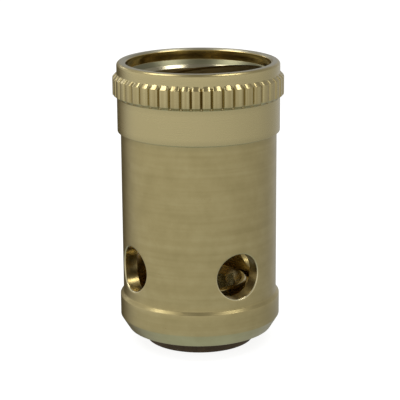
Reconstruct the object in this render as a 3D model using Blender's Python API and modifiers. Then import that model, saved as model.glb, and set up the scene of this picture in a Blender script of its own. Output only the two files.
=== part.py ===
"""Drop-in valve barrel: a turned brass sleeve with a knurled collar, four side ports and a coarse
left-hand stem thread, a screwed-in valve seat on its gasket, and a soft base washer.

Metres, +Z up. The origin is the centre of the base washer's underside. The ports lie on the X and
Y axes. Profiles are (radius, height) points that run down the outer side and back up the bore.
"""

import math

import bmesh
import bpy
from mathutils import Matrix, Vector

MM = 0.001
STEPS = 48  # facets round every turned surface, one for each knurl tooth

# Base washer and the recess it sits in
WASHER_R = 7.50 * MM
WASHER_HOLE_R = 5.20 * MM
WASHER_TOP = 2.88 * MM
WASHER_EDGE = 0.20 * MM
RECESS_R = WASHER_R + 0.10 * MM
RECESS_TOP = WASHER_TOP + 0.07 * MM

# Barrel, outside, from the bottom up
BOTTOM_R = 10.00 * MM
BOTTOM_Z = 1.87 * MM
LAND_R = 11.10 * MM
LOW_LAND_Z = (3.66 * MM, 6.55 * MM)
RELIEF_R = 10.66 * MM
RELIEF_CONE = LAND_R - RELIEF_R
UPPER_LAND_Z = 29.78 * MM
UPPER_STEP = 0.10 * MM
COLLAR_R = 11.69 * MM
COLLAR_Z = (34.92 * MM, 37.18 * MM)
COLLAR_TOP_CHAMFER = COLLAR_R - LAND_R
COLLAR_LOW_CHAMFER = 0.45 * MM
RIM_Z = 39.26 * MM
RIM_CHAMFER = 0.30 * MM

# Barrel, inside, from the top down
MOUTH_R = 9.84 * MM
MOUTH_CHAMFER = 0.25 * MM
MOUTH_FLOOR_Z = 37.75 * MM
BORE_R = 8.80 * MM
THREAD_RELIEF_R = 9.75 * MM
THREAD_RELIEF_Z = (21.60 * MM, 24.00 * MM)
CHAMBER_FLOOR_Z = 5.70 * MM
CHAMBER_CORNER = 0.40 * MM

# Knurled collar: straight V grooves
GROOVE_DEPTH = 0.50 * MM
GROOVE_HALF_WIDTH = 0.24 * MM

# Stem thread: left-hand, two starts, trapezoidal groove
THREAD_STARTS = 2
THREAD_LEAD = 8.00 * MM
THREAD_MAJOR_R = 9.70 * MM
THREAD_ROOT_HALF = 0.55 * MM
THREAD_CUT_R = BORE_R - 0.30 * MM
THREAD_CUT_HALF = 1.08 * MM
THREAD_TOP_Z = 39.00 * MM
THREAD_PHASE = math.radians(93.75)  # half a facet off the bore, so that no two edges meet

# Side ports
PORT_R = 3.12 * MM
PORT_Z = 11.42 * MM
PORT_SIDES = 32

# Valve seat and its gasket
SEAT_HOLE_R = 6.65 * MM
SEAT_SHANK_R = SEAT_HOLE_R - 0.05 * MM
SEAT_SHANK_Z = 3.40 * MM
SEAT_SHANK_CHAMFER = 0.20 * MM
SEAT_FLANGE_R = 7.90 * MM
SEAT_FLANGE_Z = (6.25 * MM, 7.30 * MM)
SEAT_LIP_R = 6.55 * MM
SEAT_LIP_Z = 8.60 * MM
SEAT_LIP_CHAMFER = 0.20 * MM
SEAT_LIP_INNER_R = 5.85 * MM
SEAT_BORE_R = 5.00 * MM
SEAT_CONE_Z = 7.75 * MM
SOCKET_FLATS = 9.60 * MM
SOCKET_FLOOR_Z = 5.20 * MM
GASKET_R = (6.75 * MM, 7.85 * MM)
GASKET_Z = (5.75 * MM, 6.20 * MM)


def clear_scene():
    for obj in list(bpy.data.objects):
        bpy.data.objects.remove(obj, do_unlink=True)


def new_collection(name):
    collection = bpy.data.collections.new(name)
    bpy.context.scene.collection.children.link(collection)
    return collection


def new_material(name, colour, metallic, roughness):
    material = bpy.data.materials.new(name)
    material.use_nodes = True
    shader = material.node_tree.nodes["Principled BSDF"]
    shader.inputs["Base Color"].default_value = (*colour, 1.0)
    shader.inputs["Metallic"].default_value = metallic
    shader.inputs["Roughness"].default_value = roughness
    return material


def new_object(name, bm, collection, material=None):
    mesh = bpy.data.meshes.new(name)
    bm.to_mesh(mesh)
    bm.free()
    obj = bpy.data.objects.new(name, mesh)
    collection.objects.link(obj)
    if material:
        mesh.materials.append(material)
    return obj


def turned(name, profile, collection, material):
    """A closed (radius, height) profile turned about Z."""
    bm = bmesh.new()
    points = [bm.verts.new((radius, 0.0, height)) for radius, height in profile]
    for start, end in zip(points, points[1:] + points[:1]):
        bm.edges.new((start, end))
    obj = new_object(name, bm, collection, material)
    screw = obj.modifiers.new("Turn", "SCREW")
    screw.axis = "Z"
    screw.steps = STEPS
    screw.render_steps = STEPS
    screw.use_merge_vertices = True
    screw.merge_threshold = 1e-6
    screw.use_smooth_shade = False
    return obj


def new_cutter(name, bm):
    """A closed mesh that only cuts: hidden from the model, its faces turned outwards."""
    bmesh.ops.triangulate(bm, faces=bm.faces)
    bmesh.ops.recalc_face_normals(bm, faces=bm.faces)
    cutter = new_object(name, bm, cutters)
    cutter.hide_render = True
    cutter.display_type = "WIRE"
    return cutter


def cut(obj, cutter):
    boolean = obj.modifiers.new("Cut " + cutter.name, "BOOLEAN")
    boolean.operation = "DIFFERENCE"
    boolean.solver = "EXACT"
    boolean.object = cutter


def rod_cutter(name, radius, length, sides, placing):
    """A straight rod with that many sides, centred on the origin along Z, then placed."""
    bm = bmesh.new()
    bmesh.ops.create_cone(
        bm, cap_ends=True, segments=sides, radius1=radius, radius2=radius, depth=length, matrix=placing
    )
    return new_cutter(name, bm)


def knurl_cutter():
    """One V groove between each two teeth: a diamond-section bar with its widest line on the crest."""
    height = COLLAR_Z[1] - COLLAR_Z[0] + 4 * COLLAR_TOP_CHAMFER
    middle = (COLLAR_Z[0] + COLLAR_Z[1]) / 2
    shape = Matrix.Diagonal((GROOVE_DEPTH, GROOVE_HALF_WIDTH, height, 1))
    bm = bmesh.new()
    for tooth in range(STEPS):
        turn = Matrix.Rotation((tooth + 0.5) * math.tau / STEPS, 4, "Z")
        place = turn @ Matrix.Translation((COLLAR_R, 0, middle)) @ shape
        bmesh.ops.create_cone(bm, cap_ends=True, segments=4, radius1=1, radius2=1, depth=1, matrix=place)
    return new_cutter("knurl_grooves", bm)


def thread_cutter():
    """The helical grooves of the stem thread, from above its mouth down into its relief."""
    step = math.tau / STEPS
    drop = THREAD_LEAD / STEPS
    bottom = (THREAD_RELIEF_Z[0] + THREAD_RELIEF_Z[1]) / 2
    count = round((THREAD_TOP_Z - bottom) / drop)
    section = (
        (THREAD_CUT_R, THREAD_CUT_HALF),
        (THREAD_MAJOR_R, THREAD_ROOT_HALF),
        (THREAD_MAJOR_R, -THREAD_ROOT_HALF),
        (THREAD_CUT_R, -THREAD_CUT_HALF),
    )
    bm = bmesh.new()
    for start in range(THREAD_STARTS):
        turn = Matrix.Rotation(THREAD_PHASE + start * math.tau / THREAD_STARTS, 4, "Z")
        corners = [
            bm.verts.new(turn @ Vector((radius, 0.0, THREAD_TOP_Z + offset))) for radius, offset in section
        ]
        face = bm.faces.new(corners)
        # Going down anticlockwise, seen from above, makes the thread left-handed.
        bmesh.ops.spin(
            bm,
            geom=[*corners, *face.edges, face],
            cent=(0, 0, 0),
            axis=(0, 0, 1),
            dvec=(0, 0, -drop),
            angle=step * count,
            steps=count,
        )
    return new_cutter("stem_thread_grooves", bm)


def barrel_profile():
    return (
        (LAND_R - RIM_CHAMFER, RIM_Z),
        (LAND_R, RIM_Z - RIM_CHAMFER),
        (LAND_R, COLLAR_Z[1] + COLLAR_TOP_CHAMFER),
        (COLLAR_R, COLLAR_Z[1]),
        (COLLAR_R, COLLAR_Z[0]),
        (LAND_R, COLLAR_Z[0] - COLLAR_LOW_CHAMFER),
        (LAND_R, UPPER_LAND_Z),
        (RELIEF_R, UPPER_LAND_Z - UPPER_STEP),
        (RELIEF_R, LOW_LAND_Z[1] + RELIEF_CONE),
        (LAND_R, LOW_LAND_Z[1]),
        (LAND_R, LOW_LAND_Z[0]),
        (BOTTOM_R, BOTTOM_Z),
        (RECESS_R, BOTTOM_Z),
        (RECESS_R, RECESS_TOP),
        (SEAT_HOLE_R, RECESS_TOP),
        (SEAT_HOLE_R, CHAMBER_FLOOR_Z),
        (BORE_R - CHAMBER_CORNER, CHAMBER_FLOOR_Z),
        (BORE_R, CHAMBER_FLOOR_Z + CHAMBER_CORNER),
        (BORE_R, THREAD_RELIEF_Z[0] - (THREAD_RELIEF_R - BORE_R)),
        (THREAD_RELIEF_R, THREAD_RELIEF_Z[0]),
        (THREAD_RELIEF_R, THREAD_RELIEF_Z[1]),
        (BORE_R, THREAD_RELIEF_Z[1]),
        (BORE_R, MOUTH_FLOOR_Z - (MOUTH_R - BORE_R)),
        (MOUTH_R, MOUTH_FLOOR_Z),
        (MOUTH_R, RIM_Z - MOUTH_CHAMFER),
        (MOUTH_R + MOUTH_CHAMFER, RIM_Z),
    )


def make_barrel():
    brass = new_material("brass_satin", (0.42, 0.35, 0.19), 1.0, 0.35)
    barrel = turned("barrel", barrel_profile(), parts, brass)
    across = 4 * COLLAR_R
    half_side = Matrix.Rotation(math.pi / PORT_SIDES, 4, "Z")
    for axis, about in (("x", "Y"), ("y", "X")):
        turn = Matrix.Rotation(math.pi / 2, 4, about)
        place = Matrix.Translation((0, 0, PORT_Z)) @ turn @ half_side
        cut(barrel, rod_cutter("ports_along_" + axis, PORT_R, across, PORT_SIDES, place))
    cut(barrel, knurl_cutter())
    cut(barrel, thread_cutter())
    return barrel


def make_valve_seat():
    brass = new_material("brass_seat", (0.45, 0.39, 0.25), 1.0, 0.25)
    profile = (
        (SEAT_LIP_R - SEAT_LIP_CHAMFER, SEAT_LIP_Z),
        (SEAT_LIP_R, SEAT_LIP_Z - SEAT_LIP_CHAMFER),
        (SEAT_LIP_R, SEAT_FLANGE_Z[1]),
        (SEAT_FLANGE_R, SEAT_FLANGE_Z[1]),
        (SEAT_FLANGE_R, SEAT_FLANGE_Z[0]),
        (SEAT_SHANK_R, SEAT_FLANGE_Z[0]),
        (SEAT_SHANK_R, SEAT_SHANK_Z + SEAT_SHANK_CHAMFER),
        (SEAT_SHANK_R - SEAT_SHANK_CHAMFER, SEAT_SHANK_Z),
        (SEAT_BORE_R, SEAT_SHANK_Z),
        (SEAT_BORE_R, SEAT_CONE_Z),
        (SEAT_LIP_INNER_R, SEAT_LIP_Z),
    )
    seat = turned("valve_seat", profile, parts, brass)
    depth = 2 * (SEAT_LIP_Z - SOCKET_FLOOR_Z)
    corner_r = SOCKET_FLATS / 2 / math.cos(math.pi / 6)
    place = Matrix.Translation((0, 0, SOCKET_FLOOR_Z + depth / 2))
    cut(seat, rod_cutter("key_socket", corner_r, depth, 6, place))
    return seat


def make_seat_gasket():
    fibre = new_material("gasket_fibre", (0.10, 0.05, 0.03), 0.0, 0.8)
    inner, outer = GASKET_R
    low, high = GASKET_Z
    return turned("seat_gasket", ((outer, high), (outer, low), (inner, low), (inner, high)), parts, fibre)


def make_base_washer():
    rubber = new_material("washer_rubber", (0.045, 0.030, 0.015), 0.0, 0.65)
    profile = (
        (WASHER_R - WASHER_EDGE, WASHER_TOP),
        (WASHER_R, WASHER_TOP - WASHER_EDGE),
        (WASHER_R, WASHER_EDGE),
        (WASHER_R - WASHER_EDGE, 0.0),
        (WASHER_HOLE_R, 0.0),
        (WASHER_HOLE_R, WASHER_TOP),
    )
    return turned("base_washer", profile, parts, rubber)


clear_scene()
parts = new_collection("valve_barrel")
cutters = new_collection("cutters")
make_barrel()
make_valve_seat()
make_seat_gasket()
make_base_washer()
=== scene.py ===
"""Looks for the drop-in valve barrel: fine meshes for its four pieces, procedural materials, and a
plain studio. Metres, +Z up, in the CAD model's frame. Profiles are (radius, height, edge radius)
points that run down the outer side of a piece and back up its bore."""

import math

import bmesh
import bpy
import numpy as np
from mathutils import Matrix, Vector


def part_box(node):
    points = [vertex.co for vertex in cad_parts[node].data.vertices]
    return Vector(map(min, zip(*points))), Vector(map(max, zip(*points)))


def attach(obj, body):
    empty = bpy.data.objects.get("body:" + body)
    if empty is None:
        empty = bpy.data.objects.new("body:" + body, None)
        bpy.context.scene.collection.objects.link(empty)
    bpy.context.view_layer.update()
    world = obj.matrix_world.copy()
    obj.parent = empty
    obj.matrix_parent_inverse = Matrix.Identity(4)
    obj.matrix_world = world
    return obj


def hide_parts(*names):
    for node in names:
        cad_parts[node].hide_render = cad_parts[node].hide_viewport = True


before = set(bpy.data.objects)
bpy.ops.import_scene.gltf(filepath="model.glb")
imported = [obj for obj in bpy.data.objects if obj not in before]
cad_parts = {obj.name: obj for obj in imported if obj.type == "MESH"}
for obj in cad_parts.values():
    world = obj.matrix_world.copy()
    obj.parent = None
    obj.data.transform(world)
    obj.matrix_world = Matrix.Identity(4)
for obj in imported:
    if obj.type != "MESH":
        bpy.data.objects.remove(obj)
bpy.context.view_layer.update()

MM = 0.001
TINY = 1e-6
SHARP_ANGLE = math.radians(32)
EDGE = 0.07 * MM  # the small radius that turning and deburring leave on an edge
FILLET_STEPS = 4
FILLET_SHARE = 0.45  # the most of a side that the fillet at one of its ends may take

# Sizes read from the CAD model
barrel_low, barrel_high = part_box("barrel")
washer_low, washer_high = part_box("base_washer")
seat_low, seat_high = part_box("valve_seat")
gasket_low, gasket_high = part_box("seat_gasket")
RIM_Z = barrel_high.z
BOTTOM_Z = barrel_low.z
COLLAR_R = barrel_high.x

# Barrel, outside
LAND_R = COLLAR_R - 0.59 * MM
RELIEF_R = LAND_R - 0.44 * MM
BOTTOM_R = LAND_R - 1.10 * MM
LOW_LAND_Z = (3.66 * MM, 6.55 * MM)
UPPER_LAND_Z = 29.78 * MM
UPPER_STEP = 0.10 * MM
COLLAR_Z = (34.92 * MM, 37.18 * MM)
COLLAR_LOW_CHAMFER = 0.45 * MM
RIM_CHAMFER = 0.30 * MM
RIM_EDGE = 0.40 * MM

# The longest side of the mesh along an outline
BODY_ROW = 0.80 * MM
PORT_ROW = 0.30 * MM
CHAMFER_ROW = 0.07 * MM

# Knurled collar. The knurling wheel's last teeth came out narrower, where its mark meets its start.
# Stations are shares of the pitch, and the groove's shape is (share of the pitch, share of the depth).
TEETH = 48
NARROW_TEETH = 3
NARROW_PITCH = math.radians(6.83)
SEAM_ANGLE = math.radians(-131.9)
TOOTH_STATIONS = (0.0, 0.045, 0.09, 0.135, 0.20, 0.34, 0.50, 0.66, 0.80, 0.865, 0.91, 0.955)
GROOVE_SHAPE = (
    (0.0, 1.0),
    (0.045, 0.78),
    (0.09, 0.45),
    (0.135, 0.24),
    (0.20, 0.12),
    (0.34, 0.03),
    (0.50, 0.0),
)
GROOVE_DEPTH = 0.42 * MM
TOOTH_UNEVENNESS = 0.06 * MM
TOOTH_TILT = 0.05 * MM
KNURL_SEED = 5

# Barrel, inside
MOUTH_R = 9.84 * MM
MOUTH_CHAMFER = 0.25 * MM
MOUTH_FLOOR_Z = 37.75 * MM
BORE_R = 8.80 * MM
THREAD_RELIEF_R = 9.75 * MM
THREAD_RELIEF_Z = (21.60 * MM, 24.00 * MM)
CHAMBER_FLOOR_Z = 5.70 * MM
SEAT_HOLE_R = 6.65 * MM
RECESS_R = washer_high.x + 0.10 * MM
RECESS_TOP = washer_high.z + 0.07 * MM

# Stem thread. Its section is (distance outside the bore, half the groove's width), in millimetres.
THREAD_STARTS = 2
THREAD_LEAD = 8.00 * MM
THREAD_SECTION = ((-0.30, 1.31), (0.12, 0.89), (0.78, 0.60), (0.90, 0.45))
THREAD_TOP_Z = 39.00 * MM
THREAD_PHASE = math.radians(93.75)
THREAD_STEPS = 144

# Side ports
PORT_R = 3.12 * MM
PORT_Z = 11.42 * MM
PORT_EDGE = 0.22 * MM
PORT_SIDES = 96
PORT_EDGE_ARC = (math.radians(12), math.radians(78))  # the part of a quarter circle that is cut
PORT_EDGE_STEPS = 5
CUTTER_INWARD = 0.3 * MM  # how far the edge cutter goes on past the inner end of its arc
CUTTER_OUTWARD = 0.5 * MM  # past the outer end
CUTTER_RISE = 1.0 * MM  # and then away from the barrel


# ---------------------------------------------------------------- mesh tools


def rounded(profile):
    """A closed profile's points with each corner turned into an arc of its own edge radius."""
    count = len(profile)
    points = []
    for i, (r, z, radius) in enumerate(profile):
        here = Vector((r, z))
        back = Vector(profile[i - 1][:2]) - here
        on = Vector(profile[(i + 1) % count][:2]) - here
        half = back.angle(on) / 2
        most = FILLET_SHARE * min(back.length, on.length)
        reach = min(radius / math.tan(half), most)
        if reach < TINY:
            points.append(here)
            continue
        radius = reach * math.tan(half)
        centre = here + (back.normalized() + on.normalized()).normalized() * (radius / math.sin(half))
        start = here + back.normalized() * reach - centre
        end = here + on.normalized() * reach - centre
        sweep = start.angle(end)
        for k in range(FILLET_STEPS + 1):
            share = k / FILLET_STEPS
            arm = math.sin((1 - share) * sweep) * start + math.sin(share * sweep) * end
            points.append(centre + arm / math.sin(sweep))
    return points


def refined(points, row):
    """The same closed outline with no side longer than row(height) allows."""
    out = []
    for start, end in zip(points, points[1:] + points[:1]):
        parts = max(1, math.ceil((end - start).length / row((start.y + end.y) / 2)))
        out.extend(start.lerp(end, k / parts) for k in range(parts))
    return out


def mesh_object(name, points, faces):
    mesh = bpy.data.meshes.new(name)
    mesh.from_pydata(points, [], faces)
    mesh.validate()
    obj = bpy.data.objects.new(name, mesh)
    bpy.context.scene.collection.objects.link(obj)
    return obj


def lathe(name, outline, angles, limit=None):
    """The closed outline turned about Z through the angles. limit(radius, height) may pull points in."""
    rows = np.array([tuple(p) for p in outline])
    radius = np.repeat(rows[:, :1], len(angles), axis=1)
    if limit is not None:
        radius = limit(radius, rows[:, 1:])
    x = radius * np.cos(angles)
    y = radius * np.sin(angles)
    z = np.repeat(rows[:, 1:], len(angles), axis=1)
    points = np.stack([x, y, z], axis=-1).reshape(-1, 3)
    turns, sides = radius.shape
    i, j = np.meshgrid(np.arange(turns), np.arange(sides), indexing="ij")
    below, after = (i + 1) % turns, (j + 1) % sides
    quads = np.stack([i * sides + j, below * sides + j, below * sides + after, i * sides + after], axis=-1)
    return mesh_object(name, points.tolist(), quads.reshape(-1, 4).tolist())


def even_angles(count):
    return np.arange(count) * math.tau / count


def tube_between(rings):
    """Points and faces of a closed body lofted through rings of equal length, its ends closed by fans."""
    count = len(rings[0])
    points = [p for ring in rings for p in ring]
    faces = []
    for row in range(len(rings) - 1):
        for k in range(count):
            a, b = row * count + k, row * count + (k + 1) % count
            faces.append((a, b, b + count, a + count))
    for ring, first, flip in ((rings[0], 0, True), (rings[-1], (len(rings) - 1) * count, False)):
        middle = len(points)
        points.append(sum(ring, Vector()) / count)
        for k in range(count):
            a, b = first + k, first + (k + 1) % count
            faces.append((b, a, middle) if flip else (a, b, middle))
    return points, faces


def joined(name, bodies):
    """One object from several (points, faces) bodies that don't touch, with their faces turned outwards."""
    points, faces = [], []
    for body_points, body_faces in bodies:
        base = len(points)
        points.extend(body_points)
        faces.extend(tuple(k + base for k in face) for face in body_faces)
    obj = mesh_object(name, [tuple(p) for p in points], faces)
    bm = bmesh.new()
    bm.from_mesh(obj.data)
    bmesh.ops.recalc_face_normals(bm, faces=bm.faces)
    bm.to_mesh(obj.data)
    bm.free()
    return obj


def rod(radius, length, sides, placing):
    ring = [Vector((radius * math.cos(a), radius * math.sin(a), 0.0)) for a in even_angles(sides)]
    up = Vector((0, 0, length / 2))
    return tube_between([[placing @ (p - up) for p in ring], [placing @ (p + up) for p in ring]])


def cut(obj, cutters):
    """Cuts each cutter out of obj for good, and removes the cutters."""
    for cutter in cutters:
        boolean = obj.modifiers.new("Cut", "BOOLEAN")
        boolean.operation = "DIFFERENCE"
        boolean.solver = "MANIFOLD"
        boolean.object = cutter
    graph = bpy.context.evaluated_depsgraph_get()
    mesh = bpy.data.meshes.new_from_object(obj.evaluated_get(graph))
    obj.modifiers.clear()
    obj.data = mesh
    for cutter in cutters:
        bpy.data.objects.remove(cutter)


def smooth(obj):
    obj.data.shade_smooth()
    obj.data.set_sharp_from_angle(angle=SHARP_ANGLE)


def finished(obj, material, node, body):
    smooth(obj)
    obj.data.materials.clear()
    obj.data.materials.append(material)
    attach(obj, body)
    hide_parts(node)
    return obj


# ---------------------------------------------------------------- the barrel


def barrel_outline():
    collar_chamfer = COLLAR_R - LAND_R
    relief_cone = LAND_R - RELIEF_R
    thread_top = MOUTH_FLOOR_Z - (MOUTH_R - BORE_R)
    profile = (
        (LAND_R - RIM_CHAMFER, RIM_Z, RIM_EDGE),
        (LAND_R, RIM_Z - RIM_CHAMFER, RIM_EDGE),
        (LAND_R, COLLAR_Z[1] + collar_chamfer, EDGE),
        (COLLAR_R, COLLAR_Z[1], EDGE),
        (COLLAR_R, COLLAR_Z[0], EDGE),
        (LAND_R, COLLAR_Z[0] - COLLAR_LOW_CHAMFER, EDGE),
        (LAND_R, UPPER_LAND_Z, EDGE),
        (RELIEF_R, UPPER_LAND_Z - UPPER_STEP, 2 * EDGE),
        (RELIEF_R, LOW_LAND_Z[1] + relief_cone, 4 * EDGE),
        (LAND_R, LOW_LAND_Z[1], 2 * EDGE),
        (LAND_R, LOW_LAND_Z[0], 2 * EDGE),
        (BOTTOM_R, BOTTOM_Z, 2 * EDGE),
        (RECESS_R, BOTTOM_Z, EDGE),
        (RECESS_R, RECESS_TOP, EDGE),
        (SEAT_HOLE_R, RECESS_TOP, EDGE),
        (SEAT_HOLE_R, CHAMBER_FLOOR_Z, EDGE),
        (BORE_R, CHAMBER_FLOOR_Z, 6 * EDGE),
        (BORE_R, THREAD_RELIEF_Z[0] - (THREAD_RELIEF_R - BORE_R), EDGE),
        (THREAD_RELIEF_R, THREAD_RELIEF_Z[0], 3 * EDGE),
        (THREAD_RELIEF_R, THREAD_RELIEF_Z[1], 3 * EDGE),
        (BORE_R, THREAD_RELIEF_Z[1], EDGE),
        (BORE_R, thread_top, EDGE),
        (MOUTH_R, MOUTH_FLOOR_Z, EDGE),
        (MOUTH_R, RIM_Z - MOUTH_CHAMFER, EDGE),
        (MOUTH_R + MOUTH_CHAMFER, RIM_Z, EDGE),
    )

    def row(height):
        near_port = abs(height - PORT_Z) < PORT_R + 2 * PORT_EDGE
        near_top = COLLAR_Z[1] < height < COLLAR_Z[1] + collar_chamfer
        near_low = COLLAR_Z[0] - COLLAR_LOW_CHAMFER < height < COLLAR_Z[0]
        if near_top or near_low:
            return CHAMFER_ROW
        return PORT_ROW if near_port else BODY_ROW

    return refined(rounded(profile), row)


def tooth_angles():
    """The angles of every tooth's stations, from one groove to just before the next."""
    pitch = (math.tau - NARROW_TEETH * NARROW_PITCH) / (TEETH - NARROW_TEETH)
    pitches = np.where(np.arange(TEETH) < NARROW_TEETH, NARROW_PITCH, pitch)
    starts = SEAM_ANGLE + np.cumsum(pitches) - pitches
    return (starts[:, None] + pitches[:, None] * np.array(TOOTH_STATIONS)).reshape(-1)


def knurled(radius, height):
    """Pulls the collar's points in where its grooves run. Each tooth is crowned, on its chamfers too, and
    has a height and a tilt of its own, as a knurling wheel leaves it. The first keeps the full radius."""
    stations = np.array(TOOTH_STATIONS)
    distance = np.tile(np.minimum(stations, 1.0 - stations), TEETH)
    random = np.random.default_rng(KNURL_SEED)
    low = random.uniform(0.0, TOOTH_UNEVENNESS, TEETH)
    low[0] = 0.0
    tilt = random.uniform(-TOOTH_TILT, TOOTH_TILT, TEETH)
    tilt[0] = 0.0
    slope = np.maximum(0.0, np.outer(tilt, stations - 0.5)).reshape(-1)
    shape = np.array(GROOVE_SHAPE)
    groove = GROOVE_DEPTH * np.interp(distance, shape[:, 0], shape[:, 1])
    pull = np.maximum(groove, np.repeat(low, len(stations)) + slope)
    above_land = COLLAR_Z[0] - COLLAR_LOW_CHAMFER + EDGE
    outside = (radius > LAND_R + TINY) & (height > above_land)
    return np.where(outside, np.maximum(LAND_R, radius - pull), radius)


def thread_grooves():
    """The stem thread's helical grooves: left-hand, so each goes down as it goes anticlockwise."""
    half = [(BORE_R + radius * MM, offset * MM) for radius, offset in THREAD_SECTION]
    section = half + [(radius, -offset) for radius, offset in reversed(half)]
    bottom = sum(THREAD_RELIEF_Z) / 2
    steps = round((THREAD_TOP_Z - bottom) / THREAD_LEAD * THREAD_STEPS)
    bodies = []
    for start in range(THREAD_STARTS):
        rings = []
        for step in range(steps + 1):
            angle = THREAD_PHASE + start * math.tau / THREAD_STARTS + step * math.tau / THREAD_STEPS
            z = THREAD_TOP_Z - step * THREAD_LEAD / THREAD_STEPS
            rings.append([Vector((r * math.cos(angle), r * math.sin(angle), z + h)) for r, h in section])
        bodies.append(tube_between(rings))
    return joined("thread_grooves", bodies)


def port_rod(turn):
    place = Matrix.Translation((0, 0, PORT_Z)) @ turn @ Matrix.Rotation(math.pi / PORT_SIDES, 4, "Z")
    return joined("port_rod", [rod(PORT_R, 4 * COLLAR_R, PORT_SIDES, place)])


def port_edges():
    """Cutters that round the outer edge of each port: flared bodies that follow the barrel's curve."""
    first, last = PORT_EDGE_ARC
    stations = []
    for k in range(PORT_EDGE_STEPS + 1):
        angle = first + (last - first) * k / PORT_EDGE_STEPS
        stations.append((PORT_R + PORT_EDGE * (1 - math.cos(angle)), -PORT_EDGE * (1 - math.sin(angle))))
    reach, height = stations[0]
    inner = (reach - CUTTER_INWARD * math.sin(first), height - CUTTER_INWARD * math.cos(first))
    reach, height = stations[-1]
    outer = (reach + CUTTER_OUTWARD * math.sin(last), height + CUTTER_OUTWARD * math.cos(last))
    beyond = (outer[0], outer[1] + CUTTER_RISE)
    bodies = []
    for quarter in range(4):
        turn = Matrix.Rotation(quarter * math.pi / 2, 4, "Z")
        rings = []
        for reach, height in (inner, *stations, outer, beyond):
            ring = []
            for angle in even_angles(PORT_SIDES):
                across = reach * math.cos(angle)
                out = math.sqrt((RELIEF_R + height) ** 2 - across**2)
                ring.append(turn @ Vector((out, across, PORT_Z + reach * math.sin(angle))))
            rings.append(ring)
        bodies.append(tube_between(rings))
    return joined("port_edges", bodies)


def make_barrel(material):
    obj = lathe("barrel_body", barrel_outline(), tooth_angles(), knurled)
    quarter = math.pi / 2
    cutters = [
        port_rod(Matrix.Rotation(quarter, 4, "Y")),
        port_rod(Matrix.Rotation(quarter, 4, "X")),
        port_edges(),
        thread_grooves(),
    ]
    cut(obj, cutters)
    return finished(obj, material, "barrel", "barrel")


# ---------------------------------------------------------------- seat, gasket, washer

SEAT_LIP_R = 6.55 * MM
SEAT_LIP_INNER_R = 5.85 * MM
SEAT_FLANGE_R = seat_high.x
SEAT_FLANGE_Z = (6.25 * MM, 7.30 * MM)
SEAT_SHANK_R = 6.60 * MM
SEAT_BORE_R = 5.00 * MM
SEAT_CONE_Z = 7.75 * MM
SEAT_CHAMFER = 0.2 * MM
SEAT_PITCH = 0.907 * MM
SEAT_THREAD_DEPTH = 0.45 * MM
SEAT_THREAD_START = 0.8 * MM  # plain shank left under the flange
SEAT_THREAD_OUT = 0.12 * MM  # how far the thread's cutter stands out of the shank
SEAT_THREAD_HALF = SEAT_PITCH * 0.44 * 1.2  # half the cutter's width out there
SEAT_THREAD_ROOT = 0.06 * MM  # half its width at the thread's root
SEAT_THREAD_RUN_IN = 0.25  # turns until the thread has its full depth
SOCKET_FLATS = 9.60 * MM
SOCKET_FLOOR_Z = 5.20 * MM
GASKET_HOLE_R = 6.75 * MM
WASHER_HOLE_R = 5.20 * MM
WASHER_EDGE = 0.2 * MM
ROUND_STEPS = 288


def seat_outline():
    profile = (
        (SEAT_LIP_R - SEAT_CHAMFER, seat_high.z, 2 * EDGE),
        (SEAT_LIP_R, seat_high.z - SEAT_CHAMFER, 2 * EDGE),
        (SEAT_LIP_R, SEAT_FLANGE_Z[1], 3 * EDGE),
        (SEAT_FLANGE_R, SEAT_FLANGE_Z[1], 2 * EDGE),
        (SEAT_FLANGE_R, SEAT_FLANGE_Z[0], EDGE),
        (SEAT_SHANK_R, SEAT_FLANGE_Z[0], EDGE),
        (SEAT_SHANK_R, seat_low.z + SEAT_CHAMFER, EDGE),
        (SEAT_SHANK_R - SEAT_CHAMFER, seat_low.z, EDGE),
        (SEAT_BORE_R, seat_low.z, EDGE),
        (SEAT_BORE_R, SEAT_CONE_Z, EDGE),
        (SEAT_LIP_INNER_R, seat_high.z, 2 * EDGE),
    )
    return refined(rounded(profile), lambda height: BODY_ROW)


def seat_thread():
    """The V groove of the seat's right-hand thread, running off the shank's end."""
    top = SEAT_FLANGE_Z[0] - SEAT_THREAD_START
    bottom = seat_low.z - SEAT_PITCH
    steps = round((top - bottom) / SEAT_PITCH * THREAD_STEPS)
    rings = []
    for step in range(steps + 1):
        angle = step * math.tau / THREAD_STEPS
        z = top - step * SEAT_PITCH / THREAD_STEPS
        depth = SEAT_THREAD_DEPTH * min(1.0, step / (SEAT_THREAD_RUN_IN * THREAD_STEPS))
        section = (
            (SEAT_SHANK_R + SEAT_THREAD_OUT, SEAT_THREAD_HALF),
            (SEAT_SHANK_R - depth, SEAT_THREAD_ROOT),
            (SEAT_SHANK_R - depth, -SEAT_THREAD_ROOT),
            (SEAT_SHANK_R + SEAT_THREAD_OUT, -SEAT_THREAD_HALF),
        )
        rings.append([Vector((r * math.cos(-angle), r * math.sin(-angle), z + h)) for r, h in section])
    return joined("seat_thread", [tube_between(rings)])


def make_valve_seat(material):
    obj = lathe("seat_body", seat_outline(), even_angles(ROUND_STEPS))
    depth = 2 * (seat_high.z - SOCKET_FLOOR_Z)
    corner_r = SOCKET_FLATS / 2 / math.cos(math.pi / 6)
    place = Matrix.Translation((0, 0, SOCKET_FLOOR_Z + depth / 2))
    cut(obj, [joined("key_socket", [rod(corner_r, depth, 6, place)]), seat_thread()])
    return finished(obj, material, "valve_seat", "seat")


def make_ring(name, low, high, hole_r, edge, material, node, body):
    profile = (
        (high.x, high.z, edge),
        (high.x, low.z, edge),
        (hole_r, low.z, edge),
        (hole_r, high.z, edge),
    )
    outline = refined(rounded(profile), lambda height: PORT_ROW)
    obj = lathe(name, outline, even_angles(ROUND_STEPS))
    return finished(obj, material, node, body)


# ---------------------------------------------------------------- materials

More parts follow.
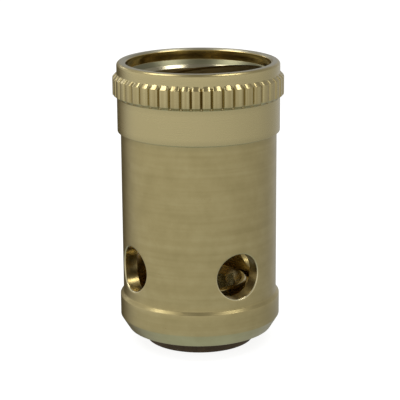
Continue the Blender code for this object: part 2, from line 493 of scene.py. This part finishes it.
PER_MM = 1000.0  # turns metres into millimetres, the unit of the turning marks' noise
MARK_STRETCH = 0.35  # how much a turning mark changes in a radian of its way round
FINE_MARKS = 7.0  # this and the next four are scales of noise
BROAD_MARKS = 1.3
MOTTLE = 420.0
BLOTCHES = 130.0
SOFT_MOTTLE = 350.0
NOISE_SPAN = (0.3, 0.7)  # the part of a noise's values that a finish follows
MOTTLE_SHARE = 0.55
TONE_STOPS = (0.30, 0.50, 0.70)
SOFT_STOPS = (0.35, 0.65)
ANISOTROPY = 0.5
ANISOTROPY_TURN = 0.25
METAL_BUMP = 0.01 * MM
MOTTLE_BUMP_SHARE = 0.6
SOFT_BUMP = 0.02 * MM
SOFT_SPECULAR = 0.15

# Colours from dark to light
BRASS_COLOURS = ((0.33, 0.270, 0.123), (0.375, 0.308, 0.145), (0.42, 0.352, 0.175))
SEAT_COLOURS = ((0.41, 0.330, 0.150), (0.46, 0.375, 0.180), (0.51, 0.425, 0.22))
RUBBER_COLOURS = ((0.030, 0.019, 0.009), (0.058, 0.040, 0.020))
FIBRE_COLOURS = ((0.075, 0.035, 0.022), (0.13, 0.065, 0.04))

# Finishes of zones of the barrel: colour, and the range of roughness
THREAD_FINISH = ((0.31, 0.240, 0.110), (0.24, 0.36))
# painted shade: the cone above the thread is dark and grey-green, so it stays dim where the soft boxes would
# light it up
CONE_PAINTED_SHADE_FINISH = ((0.185, 0.178, 0.108), (0.32, 0.44))
# painted highlight: the cone's lower edge is lighter and paler, standing in for the bright line the lights
# leave there; it is smoother too
CONE_EDGE_PAINTED_HIGHLIGHT_FINISH = ((0.36, 0.325, 0.215), (0.16, 0.24))
COUNTERBORE_FINISH = ((0.46, 0.345, 0.125), (0.08, 0.16))
# painted shade and painted reflection: the rim's top and mouth chamfer are grey and dim, standing in for the
# grey they reflect and a weaker highlight
RIM_PAINTED_SHADE_FINISH = ((0.34, 0.315, 0.225), (0.34, 0.44))
CHAMBER_FINISH = ((0.46, 0.315, 0.085), (0.22, 0.36))
TUNNEL_FINISH = ((0.40, 0.312, 0.130), (0.26, 0.42))
# painted highlight: the ports' rounded edges are lighter and paler, most at the bottom of each port, standing
# in for the light the edge catches there
PORT_EDGE_PAINTED_HIGHLIGHT_FINISH = ((0.54, 0.475, 0.29), (0.22, 0.30))
# painted light: the outside from the upper land up is lighter, standing in for brighter light higher up the
# part; it is smoother too
UPPER_PAINTED_LIGHT_FINISH = ((0.44, 0.372, 0.19), (0.22, 0.32))
KNURL_FINISH = ((0.36, 0.290, 0.135), (0.28, 0.38))

# Where those zones begin and end. A pair is the two ends of a soft border.
INSIDE_R = (MOUTH_R + 0.05 * MM, MOUTH_R + 0.15 * MM)
OFF_CONE = (0.04 * MM, 0.08 * MM)  # difference in height from the cone's surface
# where the painted highlight on the cone's lower edge begins, as a radius
CONE_EDGE_PAINTED_HIGHLIGHT_R = (BORE_R + 0.36 * MM, BORE_R + 0.46 * MM)
COUNTERBORE_Z = (MOUTH_FLOOR_Z - 0.03 * MM, MOUTH_FLOOR_Z + 0.03 * MM)
BELOW_RIM_Z = (RIM_Z - 0.05 * MM, RIM_Z - 0.02 * MM)
# where the rim's painted shade begins, as a height and as a radius
RIM_SHADE_Z = (RIM_Z - 0.9 * MOUTH_CHAMFER, RIM_Z - 0.7 * MOUTH_CHAMFER)
RIM_SHADE_R = (LAND_R - 1.3 * RIM_CHAMFER, LAND_R - RIM_CHAMFER)
CHAMBER_R = (BORE_R + 0.02 * MM, BORE_R + 0.06 * MM)
TUNNEL_R = PORT_R + 0.02 * MM  # this and the next two are distances from a port's middle line
PORT_EDGE_INNER = (PORT_R + 0.01 * MM, PORT_R + 0.04 * MM)
PORT_EDGE_OUTER = (PORT_R + 0.14 * MM, PORT_R + 0.20 * MM)
# the heights over which the ports' painted highlight fades upwards
PORT_HIGHLIGHT_FADE_Z = (PORT_Z + 0.2 * MM, PORT_Z + 2.2 * MM)
LEAST_PORT_HIGHLIGHT = 0.1  # how much of the painted highlight on the ports' edges is left at the top of a port
# where the outside's painted light begins, as a radius
UPPER_PAINTED_LIGHT_R = (LAND_R - 0.06 * MM, LAND_R - 0.03 * MM)
KNURL_ZONE_R = (LAND_R + 0.03 * MM, LAND_R + 0.08 * MM)
STREAKS_PER_RADIAN = 22.0
STREAK_SPAN = (0.42, 0.58)


class Nodes:
    """Short calls for building a node tree."""

    def __init__(self, tree):
        self.tree = tree
        self.shader = tree.nodes.get("Principled BSDF")

    def add(self, kind, **settings):
        node = self.tree.nodes.new(kind)
        for key, value in settings.items():
            setattr(node, key, value)
        return node

    def link(self, source, target):
        self.tree.links.new(source, target)

    def math(self, operation, a, b=None):
        node = self.add("ShaderNodeMath", operation=operation)
        for socket, value in zip(node.inputs, (a, b)):
            if value is None:
                continue
            if isinstance(value, (int, float)):
                socket.default_value = value
            else:
                self.link(value, socket)
        return node.outputs[0]

    def times(self, first, *others):
        """The product of two or more numbers."""
        for other in others:
            first = self.math("MULTIPLY", first, other)
        return first

    def average(self, a, b, share=0.5):
        """The mean of two numbers, in which a has its share and b the rest."""
        return self.math("ADD", self.times(a, share), self.times(b, 1.0 - share))

    def vector(self, x, y, z):
        node = self.add("ShaderNodeCombineXYZ")
        for socket, value in zip(node.inputs, (x, y, z)):
            if isinstance(value, (int, float)):
                socket.default_value = value
            else:
                self.link(value, socket)
        return node.outputs[0]

    def noise(self, vector, scale, detail=3.0, roughness=0.5):
        node = self.add("ShaderNodeTexNoise")
        self.link(vector, node.inputs["Vector"])
        node.inputs["Scale"].default_value = scale
        node.inputs["Detail"].default_value = detail
        node.inputs["Roughness"].default_value = roughness
        return node.outputs["Fac"]

    def ramp(self, value, stops):
        node = self.add("ShaderNodeValToRGB")
        self.link(value, node.inputs["Fac"])
        elements = node.color_ramp.elements
        while len(elements) < len(stops):
            elements.new(0.5)
        for element, (position, colour) in zip(elements, stops):
            element.position = position
            element.color = (*colour, 1.0)
        return node.outputs["Color"]

    def grey_ramp(self, value, stops):
        return self.ramp(value, [(position, (grey, grey, grey)) for position, grey in stops])

    def to_range(self, value, low, high, new_low, new_high):
        node = self.add("ShaderNodeMapRange")
        self.link(value, node.inputs["Value"])
        for key, number in (("From Min", low), ("From Max", high), ("To Min", new_low), ("To Max", new_high)):
            node.inputs[key].default_value = number
        return node.outputs["Result"]

    def rising(self, value, low, high):
        """0 up to low, and 1 from high on."""
        return self.to_range(value, low, high, 0.0, 1.0)

    def falling(self, value, low, high):
        """1 up to low, and 0 from high on."""
        return self.to_range(value, low, high, 1.0, 0.0)

    def mix(self, factor, a, b):
        node = self.add("ShaderNodeMix", data_type="RGBA")
        for socket, value in ((node.inputs["Factor"], factor), (node.inputs["A"], a), (node.inputs["B"], b)):
            if isinstance(value, tuple):
                socket.default_value = (*value, 1.0)
            elif isinstance(value, (int, float)):
                socket.default_value = value
            else:
                self.link(value, socket)
        return node.outputs["Result"]

    def blend(self, factor, a, b):
        """From the number a, where factor is 0, to b, where it is 1."""
        node = self.add("ShaderNodeMix", data_type="FLOAT")
        self.link(factor, node.inputs[0])
        self.link(a, node.inputs[2])
        self.link(b, node.inputs[3])
        return node.outputs[0]

    def product(self, a, b):
        node = self.add("ShaderNodeVectorMath", operation="MULTIPLY")
        self.link(a, node.inputs[0])
        self.link(b, node.inputs[1])
        return node.outputs["Vector"]

    def facing(self, vector, axis):
        """The cosine between a unit vector and a fixed axis."""
        node = self.add("ShaderNodeVectorMath", operation="DOT_PRODUCT")
        self.link(vector, node.inputs[0])
        node.inputs[1].default_value = axis
        return node.outputs["Value"]

    def bump(self, height, strength, distance, normal=None):
        node = self.add("ShaderNodeBump")
        node.inputs["Strength"].default_value = strength
        node.inputs["Distance"].default_value = distance
        self.link(height, node.inputs["Height"])
        if normal is not None:
            self.link(normal, node.inputs["Normal"])
        return node.outputs["Normal"]

    def turned_places(self):
        """The object's own coordinates: the place, and its radius, angle and height about the axis."""
        place = self.add("ShaderNodeTexCoord").outputs["Object"]
        split = self.add("ShaderNodeSeparateXYZ")
        self.link(place, split.inputs[0])
        x, y, z = split.outputs
        radius = self.math("SQRT", self.math("ADD", self.times(x, x), self.times(y, y)))
        return place, radius, self.math("ARCTAN2", y, x), z

    def port_distance(self, place, axis):
        """How far a place is from the middle line of the ports along X or Y."""
        keep = (0.0, 1.0, 1.0) if axis == "X" else (1.0, 0.0, 1.0)
        flat = self.add("ShaderNodeVectorMath", operation="MULTIPLY_ADD")
        self.link(place, flat.inputs[0])
        flat.inputs[1].default_value = keep
        flat.inputs[2].default_value = (0.0, 0.0, -PORT_Z)
        length = self.add("ShaderNodeVectorMath", operation="LENGTH")
        self.link(flat.outputs["Vector"], length.inputs[0])
        return length.outputs["Value"]


def new_material(name):
    material = bpy.data.materials.new(name)
    material.use_nodes = True
    return material, Nodes(material.node_tree)


def turned_metal(name, colours, roughness, marks, finish=None):
    """Satin metal off a lathe: fine marks round the axis, slow changes of colour, and duller patches.
    finish(nodes, places, patches, colour, rough) may give zones of the piece another finish."""
    material, n = new_material(name)
    places = n.turned_places()
    place, radius, angle, height = places
    lines = n.vector(n.times(radius, PER_MM), n.times(angle, MARK_STRETCH), n.times(height, PER_MM))
    fine = n.noise(lines, FINE_MARKS, detail=4.0, roughness=0.65)
    broad = n.noise(lines, BROAD_MARKS, detail=2.0)
    mottle = n.noise(place, MOTTLE, detail=5.0, roughness=0.6)
    blotch = n.noise(place, BLOTCHES, detail=2.0)
    colour = n.ramp(n.average(mottle, broad, MOTTLE_SHARE), tuple(zip(TONE_STOPS, colours)))
    patches = n.average(fine, blotch)
    rough = n.to_range(patches, *NOISE_SPAN, *roughness)
    if finish:
        colour, rough = finish(n, places, patches, colour, rough)
    n.link(colour, n.shader.inputs["Base Color"])
    n.link(rough, n.shader.inputs["Roughness"])
    n.shader.inputs["Metallic"].default_value = 1.0
    n.shader.inputs["Anisotropic"].default_value = ANISOTROPY
    n.shader.inputs["Anisotropic Rotation"].default_value = ANISOTROPY_TURN
    tangent = n.add("ShaderNodeTangent", direction_type="RADIAL", axis="Z")
    n.link(tangent.outputs[0], n.shader.inputs["Tangent"])
    normal = n.bump(fine, marks, METAL_BUMP)
    normal = n.bump(mottle, marks * MOTTLE_BUMP_SHARE, METAL_BUMP, normal)
    n.link(normal, n.shader.inputs["Normal"])
    return material


def barrel_zones(n, places, patches, colour, rough):
    """The barrel's other finishes, each laid over the ones before it: the thread, the cone above it in
    painted shade with a painted highlight along its lower edge, the shiny counterbore, the rim's flat top and
    mouth chamfer in painted shade and grey painted reflection, the chamber, the ports' tunnels, a painted
    highlight on the ports' edges that fades upwards, painted light on the outside from the upper land up, and
    streaks on the knurl."""
    place, radius, angle, height = places

    def zone(mask, finish):
        nonlocal colour, rough
        new_colour, new_rough = finish
        colour = n.mix(mask, colour, new_colour)
        rough = n.blend(mask, rough, n.to_range(patches, *NOISE_SPAN, *new_rough))

    inside = n.falling(radius, *INSIDE_R)
    upper = n.rising(height, *THREAD_RELIEF_Z)
    lower = n.math("SUBTRACT", 1.0, upper)
    zone(n.times(inside, upper), THREAD_FINISH)

    off_cone = n.math("SUBTRACT", n.math("SUBTRACT", height, radius), MOUTH_FLOOR_Z - MOUTH_R)
    cone = n.times(n.falling(n.math("ABSOLUTE", off_cone), *OFF_CONE), inside, upper)
    # the cone, in painted shade
    zone(cone, CONE_PAINTED_SHADE_FINISH)
    # a painted highlight along the cone's lower edge
    zone(n.times(cone, n.falling(radius, *CONE_EDGE_PAINTED_HIGHLIGHT_R)), CONE_EDGE_PAINTED_HIGHLIGHT_FINISH)

    wall = n.times(inside, n.rising(height, *COUNTERBORE_Z), n.falling(height, *BELOW_RIM_Z))
    zone(wall, COUNTERBORE_FINISH)
    # painted shade and grey painted reflection on the rim's top and mouth chamfer
    rim = n.times(n.rising(height, *RIM_SHADE_Z), n.falling(radius, *RIM_SHADE_R))
    zone(rim, RIM_PAINTED_SHADE_FINISH)

    chamber = n.falling(radius, *CHAMBER_R)
    zone(n.times(chamber, lower), CHAMBER_FINISH)
    near_port = n.math("MINIMUM", n.port_distance(place, "X"), n.port_distance(place, "Y"))
    in_port = n.math("LESS_THAN", near_port, TUNNEL_R)
    zone(n.times(n.math("SUBTRACT", 1.0, chamber), in_port, lower), TUNNEL_FINISH)
    # a painted highlight on the ports' edges, fading towards the top of each port
    edge = n.times(n.rising(near_port, *PORT_EDGE_INNER), n.falling(near_port, *PORT_EDGE_OUTER))
    highlight_fade = n.to_range(height, *PORT_HIGHLIGHT_FADE_Z, 1.0, LEAST_PORT_HIGHLIGHT)
    zone(n.times(edge, highlight_fade), PORT_EDGE_PAINTED_HIGHLIGHT_FINISH)

    # painted light on the outside from the upper land up
    zone(n.times(n.rising(radius, *UPPER_PAINTED_LIGHT_R), upper), UPPER_PAINTED_LIGHT_FINISH)
    streaks = n.noise(n.vector(n.times(angle, STREAKS_PER_RADIAN), 0.0, 0.0), 1.0, detail=2.0)
    zone(n.times(n.rising(radius, *KNURL_ZONE_R), n.rising(streaks, *STREAK_SPAN)), KNURL_FINISH)
    return colour, rough


def brass():
    return turned_metal(
        "satin_brass",
        BRASS_COLOURS,
        roughness=(0.26, 0.38),
        marks=0.35,
        finish=barrel_zones,
    )


def seat_metal():
    return turned_metal("seat_brass", SEAT_COLOURS, roughness=(0.20, 0.32), marks=0.25)


def soft_material(name, colours, roughness, grain, bump):
    """A matt moulded or pressed material with a fine grain and slow colour change."""
    material, n = new_material(name)
    place = n.add("ShaderNodeTexCoord").outputs["Object"]
    small = n.noise(place, grain, detail=4.0, roughness=0.6)
    large = n.noise(place, SOFT_MOTTLE, detail=2.0)
    colour = n.ramp(n.average(small, large), tuple(zip(SOFT_STOPS, colours)))
    n.link(colour, n.shader.inputs["Base Color"])
    n.link(n.to_range(small, *NOISE_SPAN, *roughness), n.shader.inputs["Roughness"])
    n.link(n.bump(small, bump, SOFT_BUMP), n.shader.inputs["Normal"])
    n.shader.inputs["Specular IOR Level"].default_value = SOFT_SPECULAR
    return material


def rubber():
    return soft_material("washer_rubber", RUBBER_COLOURS, roughness=(0.5, 0.75), grain=3500.0, bump=0.5)


def fibre():
    return soft_material("gasket_fibre", FIBRE_COLOURS, roughness=(0.7, 0.9), grain=2500.0, bump=0.8)


# ---------------------------------------------------------------- studio

# Azimuths and elevations are in degrees. Every azimuth but the camera's is counted from the camera's.
CAMERA_AZIMUTH = -30.06
CAMERA_ELEVATION = 14.9
CAMERA_DISTANCE = 215.7 * MM
CAMERA_TARGET_Z = 19.71 * MM
CAMERA_SIDE = 0.11 * MM
CAMERA_ROLL = math.radians(-0.39)
CAMERA_LENS = 140.2
CAMERA_SENSOR = 36.0
CAMERA_CLIP = (0.01, 20.0)
FLOOR_SIZE = 12.0
FLOOR_GREY = 0.25
FLOOR_GLOW = 0.875

# Soft boxes: name, azimuth, elevation, width and height in metres, power in watts
BOX_DISTANCE = 0.60
SOFT_BOXES = (
    ("left_box", -95.0, 61.0, (0.20, 0.26), 1.0),
    ("right_box", 87.0, 66.0, (0.16, 0.22), 0.85),
    ("back_box", -142.0, 24.0, (0.08, 0.08), 0.07),
)

# The room's brightness from straight below (0) to straight above (1), away from and towards its bright
# side (0 and 1), and by the cosine of the angle to its dark place
ROOM_STRENGTH = 1.08
ROOM_BY_HEIGHT = (
    (0.0, (0.74, 0.90, 1.05)),
    (0.12, (0.70, 0.80, 0.88)),
    (0.33, (0.66, 0.66, 0.65)),
    (0.37, (0.90, 0.90, 0.90)),
    (0.5, (1.1, 1.1, 1.1)),
    (0.67, (1.0, 1.0, 1.0)),
    (0.85, (0.7, 0.7, 0.7)),
    (0.95, (0.42, 0.42, 0.42)),
    (1.0, (0.35, 0.35, 0.35)),
)
BRIGHT_SIDE = (-50.0, -15.0)
ROOM_BY_SIDE = ((0.0, 0.50), (0.15, 0.70), (0.5, 0.84), (1.0, 0.94))
DARK_PLACE = (-158.0, -15.0)
ROOM_BY_DARK_PLACE = (
    (0.60, (1.0, 1.0, 1.0)),
    (0.80, (0.80, 0.80, 0.79)),
    (0.93, (0.38, 0.34, 0.26)),
    (1.0, (0.12, 0.10, 0.05)),
)


def direction(azimuth, elevation):
    """The unit vector from the part towards an azimuth, counted from the camera's, and an elevation."""
    az = math.radians(CAMERA_AZIMUTH + azimuth)
    el = math.radians(elevation)
    return Vector((math.sin(az) * math.cos(el), -math.cos(az) * math.cos(el), math.sin(el)))


def aimed(place, out):
    """The matrix of a camera or light at place that looks back along the direction out."""
    return Matrix.Translation(place) @ (-out).to_track_quat("-Z", "Y").to_matrix().to_4x4()


def make_camera():
    camera = bpy.data.objects.new("camera", bpy.data.cameras.new("camera"))
    bpy.context.scene.collection.objects.link(camera)
    bpy.context.scene.camera = camera
    camera.data.lens = CAMERA_LENS
    camera.data.sensor_width = CAMERA_SENSOR
    camera.data.clip_start, camera.data.clip_end = CAMERA_CLIP
    out = direction(0.0, CAMERA_ELEVATION)
    azimuth = math.radians(CAMERA_AZIMUTH)
    side = Vector((math.cos(azimuth), math.sin(azimuth), 0.0))
    target = Vector((0, 0, CAMERA_TARGET_Z)) + side * CAMERA_SIDE
    roll = Matrix.Rotation(CAMERA_ROLL, 4, "Z")
    camera.matrix_world = aimed(target + out * CAMERA_DISTANCE, out) @ roll


def make_floor():
    """A plain pale floor that glows by itself and is left out of reflections."""
    half = FLOOR_SIZE / 2
    corners = [(-half, -half, 0.0), (half, -half, 0.0), (half, half, 0.0), (-half, half, 0.0)]
    floor = mesh_object("studio_floor", corners, [(0, 1, 2, 3)])
    material, n = new_material("studio_floor")
    n.shader.inputs["Base Color"].default_value = (FLOOR_GREY, FLOOR_GREY, FLOOR_GREY, 1.0)
    n.shader.inputs["Roughness"].default_value = 1.0
    n.shader.inputs["Specular IOR Level"].default_value = 0.0
    n.shader.inputs["Emission Color"].default_value = (1.0, 1.0, 1.0, 1.0)
    n.shader.inputs["Emission Strength"].default_value = FLOOR_GLOW
    floor.data.materials.append(material)
    floor.visible_glossy = False


def make_lights():
    """Soft boxes that face the part's middle."""
    middle = Vector((0, 0, RIM_Z / 2))
    for name, azimuth, elevation, size, power in SOFT_BOXES:
        light = bpy.data.lights.new(name, "AREA")
        light.shape = "RECTANGLE"
        light.size, light.size_y = size
        light.energy = power
        obj = bpy.data.objects.new(name, light)
        bpy.context.scene.collection.objects.link(obj)
        out = direction(azimuth, elevation)
        obj.matrix_world = aimed(middle + out * BOX_DISTANCE, out)


def make_world():
    """A pale room: brightest level with the part and towards the left front, dim overhead and behind,
    cooler below, with one dark place low at the back."""
    world = bpy.data.worlds.new("studio_world")
    world.use_nodes = True
    bpy.context.scene.world = world
    n = Nodes(world.node_tree)
    place = n.add("ShaderNodeTexCoord").outputs["Generated"]
    height = n.ramp(n.rising(n.facing(place, (0, 0, 1)), -1.0, 1.0), ROOM_BY_HEIGHT)
    side = n.grey_ramp(n.rising(n.facing(place, direction(*BRIGHT_SIDE)), -1.0, 1.0), ROOM_BY_SIDE)
    dark = n.ramp(n.facing(place, direction(*DARK_PLACE)), ROOM_BY_DARK_PLACE)
    background = world.node_tree.nodes["Background"]
    n.link(n.product(n.product(height, side), dark), background.inputs["Color"])
    background.inputs["Strength"].default_value = ROOM_STRENGTH


# ---------------------------------------------------------------- build

make_camera()
make_world()
make_lights()
make_floor()
make_barrel(brass())
make_valve_seat(seat_metal())
make_ring(
    "seat_gasket_ring",
    gasket_low,
    gasket_high,
    GASKET_HOLE_R,
    EDGE,
    fibre(),
    "seat_gasket",
    "gasket",
)
make_ring(
    "base_washer_ring",
    washer_low,
    washer_high,
    WASHER_HOLE_R,
    WASHER_EDGE,
    rubber(),
    "base_washer",
    "barrel",
)
bpy.context.scene.view_settings.view_transform = "Standard"
